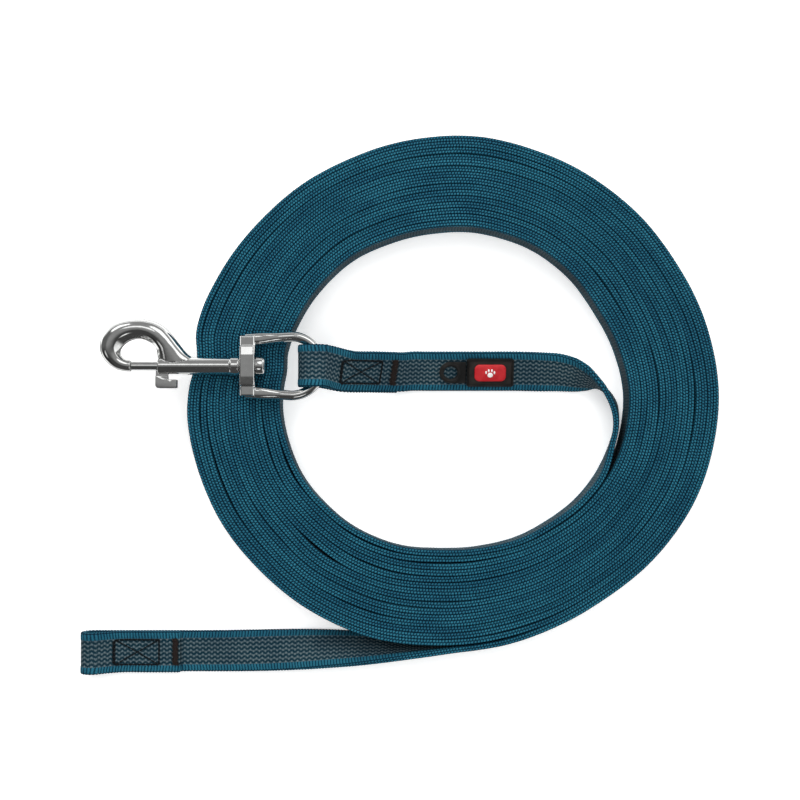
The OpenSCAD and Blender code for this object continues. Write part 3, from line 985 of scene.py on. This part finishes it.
def make_bolt(plated, chrome):
    tip = 0.00015 - GATE
    rod = lathe("sliding_bolt", [
        (tip, 0.0012), (tip + 0.0001, 0.0017), (tip + 0.0004, BOLT_R), (0.0117, BOLT_R),
        (0.012, BOLT_R - 0.0003),
    ], sides=80)
    sharp_over(rod, 35)
    finish_piece(to_hook(rod), "pin_metal", plated, "bolt", body="bolt")
    reach, foot_h = 0.01035, 0.00405
    outline = [
        (-0.0011, -0.0046), (0.0044, -0.0046), (0.0044, foot_h - reach), (0.0087, foot_h - reach),
        (0.0087, -reach), (-0.0011, -reach),
    ]
    radii = (0.0003, 0.0004, 0.0005, 0.0006, 0.0011, 0.0016)
    points = rounded_polygon(outline, radii)
    half = 0.0023
    foot = outward(mesh_object("foot", *loft([
        np.column_stack([points, np.full(len(points), z)]) for z in (-half, half)
    ])))
    edges = foot.modifiers.new("edges", "BEVEL")
    edges.width = 0.00035
    edges.segments = 3
    edges.angle_limit = math.radians(50)
    apply_modifiers(foot)
    stem = box_object("stem", (-0.0011, -0.0048, -0.0014), (0.0044, -0.0022, 0.0014))
    lever = joined("thumb_piece", [foot, stem])
    sharp_over(lever, 40)
    finish_piece(to_hook(lever), "hook_metal", chrome, "thumb_lever", body="bolt")


def rounded_polygon(corners, radii, steps=5):
    """Outline with each corner rounded by its own radius."""
    points = []
    count = len(corners)
    for i, r in enumerate(radii):
        p = Vector(corners[i])
        before = (Vector(corners[i - 1]) - p).normalized()
        after = (Vector(corners[(i + 1) % count]) - p).normalized()
        for k in range(steps + 1):
            f = k / steps
            a, b = p + before * r, p + after * r
            points.append(list((1 - f) ** 2 * a + 2 * f * (1 - f) * p + f**2 * b))
    return np.array(points)


def eye_bar():
    """The eye's bar: two splayed arms and a bend, flattened on their upper sides."""
    arm = [(EYE_X[0] + 0.0024, 0.0122), (0.047, 0.01262), (0.052, 0.01303), (0.057, 0.0134)]
    bend = [
        (EYE_BEND_X + EYE_BEND_R * math.cos(a), EYE_BEND_R * math.sin(a))
        for a in np.radians(np.linspace(90, -90, 41))
    ]
    line = np.array(arm + bend + [(x, -y) for x, y in arm[::-1]])
    run = np.concatenate([[0], np.cumsum(np.linalg.norm(np.diff(line, axis=0), axis=1))])
    t = np.linspace(0, run[-1], 160)
    x, y = (np.interp(t, run, line[:, c]) for c in (0, 1))
    ahead = np.stack([np.gradient(x), np.gradient(y)], 1)
    ahead /= np.linalg.norm(ahead, axis=1, keepdims=True)
    out = np.stack([-ahead[:, 1], ahead[:, 0]], 1)
    turn = np.arange(48) * 2 * math.pi / 48
    rings = []
    for i in range(len(t)):
        root = float(1 - ease(min(t[i], run[-1] - t[i]), 0.006, 0.017))
        w = EYE_BAR_R * (1.06 + 0.22 * root)
        h = EYE_BAR_R * (1 + 0.22 * root)
        power = 0.95 - 0.3 * root
        c = np.sign(np.cos(turn)) * np.abs(np.cos(turn)) ** power * w
        s = np.sign(np.sin(turn)) * np.abs(np.sin(turn)) ** power * h
        rings.append(np.column_stack([x[i] + c * out[i, 0], y[i] + c * out[i, 1], s]))
    return outward(mesh_object("bar", *loft(rings)))


def eye_block(name, width, height, cut, slope):
    """A plate across the eye, its top and bottom falling away by a share towards its ends."""
    l, h = (EYE_X[1] - EYE_X[0]) / 2, height / 2
    middle = (EYE_X[0] + EYE_X[1]) / 2
    outline = [
        (l - cut, h), (l, h - cut), (l, cut - h), (l - cut, -h),
        (cut - l, -h), (-l, cut - h), (-l, h - cut), (cut - l, h),
    ]
    rings = []
    for y in (-1, -0.97, -0.55, 0.55, 0.97, 1):
        share = 1 - slope * max(0, abs(y) - 0.55) / 0.45 - (0.05 if abs(y) == 1 else 0)
        rings.append([(middle + x, y * width / 2, z * share) for x, z in outline])
    return outward(mesh_object(name, *loft(rings)))


def make_eye(chrome):
    bore = lathe("eye_bore", [(EYE_X[0] - 0.001, 0.00217), (EYE_X[1] + 0.001, 0.00217)])
    boss = eye_block("boss", 0.0184, 0.0094, 0.0006, 0.11)
    base = eye_block("base", 0.0278, 0.0066, 0.0009, 0)
    parts = [boss, base, eye_bar()]
    eye = cast("eye_casting", parts, [bore], 0.0002, 3)
    finish_piece(to_hook(eye), "hook_metal", chrome, "swivel_eye", body="eye")


def make_pin(plated):
    start = EYE_X[1] + 0.00015
    pin = lathe("rivet_of_swivel", [
        (0.0305, BOLT_R - 0.0003), (0.0308, BOLT_R), (start, BOLT_R),
        (start, COLLAR_R - 0.0004), (start + 0.0004, COLLAR_R), (start + 0.0030, COLLAR_R),
        (start + 0.0038, COLLAR_R - 0.0004), (start + 0.0042, COLLAR_R - 0.0011),
        (start + 0.00435, COLLAR_R - 0.0022), (start + 0.00435, 0.0004),
    ])
    sharp_over(pin, 38)
    finish_piece(to_hook(pin), "pin_metal", plated, "swivel_pin", body="hook")


SPRING_X = (0.0126, 0.0299)
SPRING_TURNS = 8
SPRING_R = 0.0015
WIRE_R = 0.00028


def make_spring(steel):
    """The coil spring behind the bolt, which the bolt presses together."""
    turn = np.linspace(0, SPRING_TURNS * 2 * math.pi, SPRING_TURNS * 24 + 1)
    along = np.linspace(*SPRING_X, len(turn))
    line = np.stack([along, SPRING_R * np.cos(turn), SPRING_R * np.sin(turn)], 1)
    spring = outward(mesh_object("spring_of_bolt", *tube(line, [WIRE_R] * len(turn))))
    finish_piece(to_hook(spring), "spring_steel", steel, "bolt_spring", body="hook")
    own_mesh(spring)


# ---- strap ------------------------------------------------------------

def make_strap(webbing):
    """The whole strap as one route, cut into the pieces that the frame has nodes for."""
    hook_end = hook_end_rows()
    inner = with_across([[*hook_end[-1][:3], STRAP_ROLL]] + INNER_ROUTE)[1:]
    turns = np.arange(COIL_FIRST, COIL_TURNS, 1 / 60)
    middle = with_across(
        np.concatenate([INNER_ROUTE[-2:], coil_rows(turns), OUTER_ROUTE[:1]])
    )[2:-1]
    outer = with_across(OUTER_ROUTE)
    outer_end = outer_end_rows()[1:]
    rows = np.concatenate([hook_end, inner, middle, outer[:-1], outer_end])
    route = fine_route(rows, RIB / 4)
    marks = route[4]
    hook_cut = marks[len(hook_end) - 1]
    coil_low = marks[len(hook_end) + len(inner) - 1]
    coil_high = marks[len(hook_end) + len(inner) + len(middle)]
    end_cut = marks[len(rows) - len(outer_end)]
    third = (coil_high - coil_low) / 3
    whole = route[3][-1]
    plan = [
        ("strap_at_hook", 0, hook_cut, "hook_loop", "folded"),
        ("strap_inner_run", hook_cut, coil_low, "inner_strap", "laid"),
        ("coil_inner_turns", coil_low, coil_low + third, "webbing_coil", "laid"),
        ("coil_middle_turns", coil_low + third, coil_low + 2 * third, "webbing_coil", "laid"),
        ("coil_outer_turns", coil_low + 2 * third, coil_high, "webbing_coil", "laid"),
        ("strap_outer_run", coil_high, end_cut, "outer_strap", "laid"),
        ("strap_at_outer_end", end_cut, whole, "end_loop", "folded"),
    ]
    for name, low, high, node, held in plan:
        coil = (coil_low, coil_high) if node == "webbing_coil" else None
        piece, long = strap_piece(name, route, low, high, 2 if coil else 1, coil)
        dress(piece, webbing)
        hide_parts(node)


# ---- stage ------------------------------------------------------------

def make_stage():
    """A plain pale floor, three soft lamps, and a world that only the metal reflects."""
    floor = box_object("floor", (-3, -3, -0.004), (3, 3, -0.00002))
    n = Nodes(bpy.data.materials.new("floor"))
    dress(floor, n.set(Base_Color=(0.93, 0.93, 0.93), Roughness=0.85, Specular_IOR_Level=0.1,
                       Emission_Color=(1.0, 1.0, 1.0), Emission_Strength=0.38))
    floor.visible_glossy = False

    def lamp(name, at, size, power):
        data = bpy.data.lights.new(name, "AREA")
        data.shape = "RECTANGLE"
        data.size, data.size_y = size
        data.energy = power
        obj = bpy.data.objects.new(name, data)
        obj.location = at
        obj.rotation_mode = "QUATERNION"
        obj.rotation_quaternion = (-Vector(at)).to_track_quat("-Z", "Y")
        obj.visible_glossy = False
        scene.collection.objects.link(obj)

    lamp("overhead", (0.0, 0.05, 1.1), (1.3, 1.1), 8.5)
    lamp("key", (-0.35, 0.8, 0.6), (0.7, 0.3), 6)
    lamp("fill", (0.5, -0.8, 0.6), (0.8, 0.3), 3)
    world = bpy.data.worlds.new("studio")
    scene.world = world
    n = Nodes(world)
    coords = n.tree.nodes.new("ShaderNodeTexCoord")
    split = n.tree.nodes.new("ShaderNodeSeparateXYZ")
    n.tree.links.new(coords.outputs["Generated"], split.inputs[0])
    x, y, z = split.outputs

    def spot(at, wide, light):
        """A round soft light in one direction."""
        away = n.math("ADD", n.math("MULTIPLY", x, at[0]), n.math("MULTIPLY", y, at[1]))
        away = n.math("ADD", away, n.math("MULTIPLY", z, at[2]))
        near = math.cos(math.radians(wide))
        return n.math("MULTIPLY", n.band(away, near, near + 0.45 * (1 - near)), light)

    def side_band(across, spread, low, high, light):
        """Light on one side, between two heights."""
        above, below = n.band(z, low - 0.05, low + 0.05), n.band(z, high + 0.05, high - 0.05)
        tall = n.math("MULTIPLY", above, below)
        return n.math("MULTIPLY", n.math("MULTIPLY", tall, n.band(across, *spread)), light)

    light = n.math("ADD", n.math("MULTIPLY", n.band(y, -0.30, 0.08), 0.21), 0.055)
    darker = n.math("MULTIPLY", n.band(x, -0.45, -0.7), 0.55)
    light = n.math("MULTIPLY", light, n.math("SUBTRACT", 1.0, darker))
    for added in (
        side_band(y, (0.05, 0.3), -0.86, -0.12, 1.0),
        side_band(y, (-0.1, -0.3), -0.80, -0.20, 0.7),
        side_band(y, (0.3, 0.6), 0.0, 0.14, 0.9),
        side_band(x, (0.5, 0.8), -0.4, 0.35, 0.9),
        side_band(x, (-0.6, -0.85), -0.6, -0.1, 0.45),
        spot((0.28, 0.58, 0.76), 20, 1.1),
        spot((-0.50, 0.66, 0.56), 15, 1.3),
        spot((0.10, -0.62, 0.78), 9, 1.0),
        spot((-0.17, 0.33, 0.93), 8, 0.9),
        spot((-0.72, -0.30, 0.62), 11, 0.6),
    ):
        light = n.math("ADD", light, added)
    background = n.tree.nodes["Background"]
    n.tree.links.new(light, background.inputs[1])
    background.inputs[0].default_value = (0.99, 1, 1, 1)
    scene.view_settings.view_transform = "Standard"


make_camera()
make_strap(webbing_material())
make_stitching(
    thread_material("black_thread", (0.003, 0.004, 0.005), (0.010, 0.012, 0.014)),
    thread_material("brown_thread", (0.008, 0.006, 0.006), (0.030, 0.021, 0.018)),
)
make_label(
    rubber_material("black_rubber", (0.005, 0.005, 0.005), (0.013, 0.012, 0.011), 0.5),
    rubber_material("field_rubber", (0.014, 0.012, 0.011), (0.026, 0.022, 0.020), 0.6),
    rubber_material("badge_red", (0.42, 0.012, 0.018), (0.55, 0.03, 0.035), 0.3),
    rubber_material("mark_white", (0.80, 0.79, 0.77), (0.9, 0.89, 0.88), 0.4),
)
make_eyelet(rubber_material("eyelet_rubber", (0.008, 0.008, 0.008), (0.018, 0.017, 0.016), 0.55))
cast_chrome = metal_material("cast_chrome", (0.80, 0.80, 0.79), (0.86, 0.86, 0.85), 0.04, 700)
turned_chrome = metal_material("turned_chrome", (0.76, 0.76, 0.76), (0.82, 0.82, 0.81), 0.06, 1500)
make_hook(cast_chrome)
make_bolt(turned_chrome, cast_chrome)
make_eye(cast_chrome)
make_pin(turned_chrome)
make_spring(metal_material("spring_wire", (0.40, 0.41, 0.42), (0.5, 0.5, 0.51), 0.28, 3000))
make_stage()
